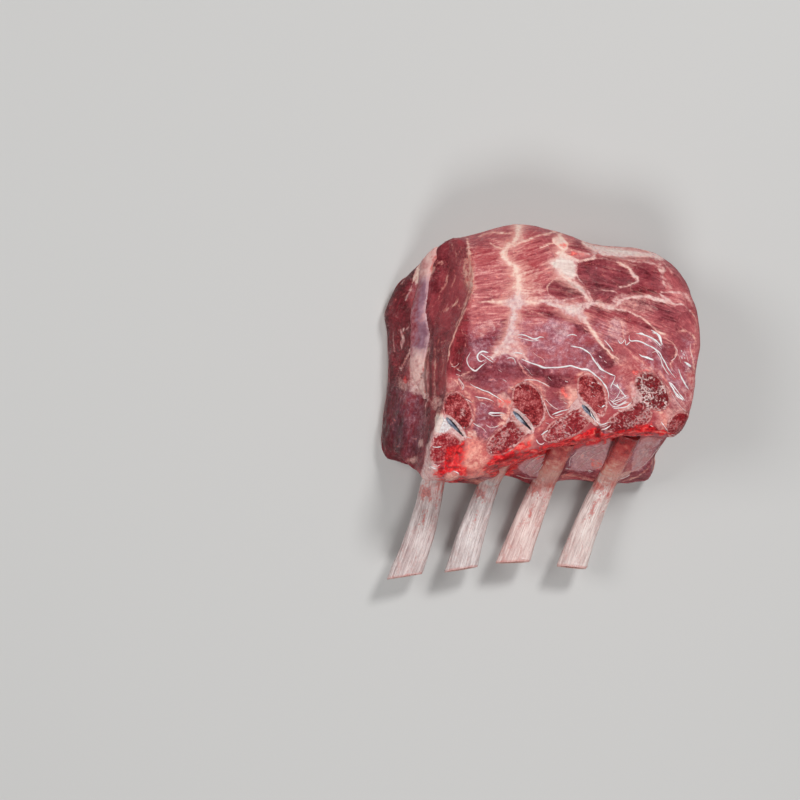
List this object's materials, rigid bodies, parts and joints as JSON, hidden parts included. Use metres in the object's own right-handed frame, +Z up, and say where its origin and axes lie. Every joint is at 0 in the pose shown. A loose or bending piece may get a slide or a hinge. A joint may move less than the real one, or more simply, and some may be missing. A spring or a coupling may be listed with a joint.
{
  "type": "rack of lamb",
  "caption": "Raw rack of lamb, sawn along the backbone and lying on its outer side, with marbled muscle, a seam of fat, cut backbone and long bare rib ends.",
  "frame": {"origin": "under the middle of the bounding box, on the surface that the rack rests on", "axes": "+X along the backbone towards the uncovered end, +Y from the bare rib ends towards the back, +Z up, away from the resting side, to the sawn side"},
  "size_m": [0.1174, 0.1347, 0.0484],
  "materials": {
    "muscle": "wet raw lamb muscle, rose to dark red, with cream fat lines and a tight glossy membrane",
    "fat": "moist fat and silverskin, cream to pale lavender",
    "rib_bone": "scraped rib bone, off-white to pink, lightly streaked and damp",
    "cut_bone": "sawn spongy bone with red marrow, pale rim and specks"
  },
  "bodies": {
    "root": {"meat": "muscle", "fat_seam": "fat", "rib_1": "rib_bone", "rib_2": "rib_bone", "rib_3": "rib_bone", "rib_4": "rib_bone", "vertebra_1": "cut_bone", "vertebra_2": "cut_bone", "vertebra_3": "cut_bone", "vertebra_4": "cut_bone", "vertebra_5": "cut_bone"}
  },
  "joints": []
}
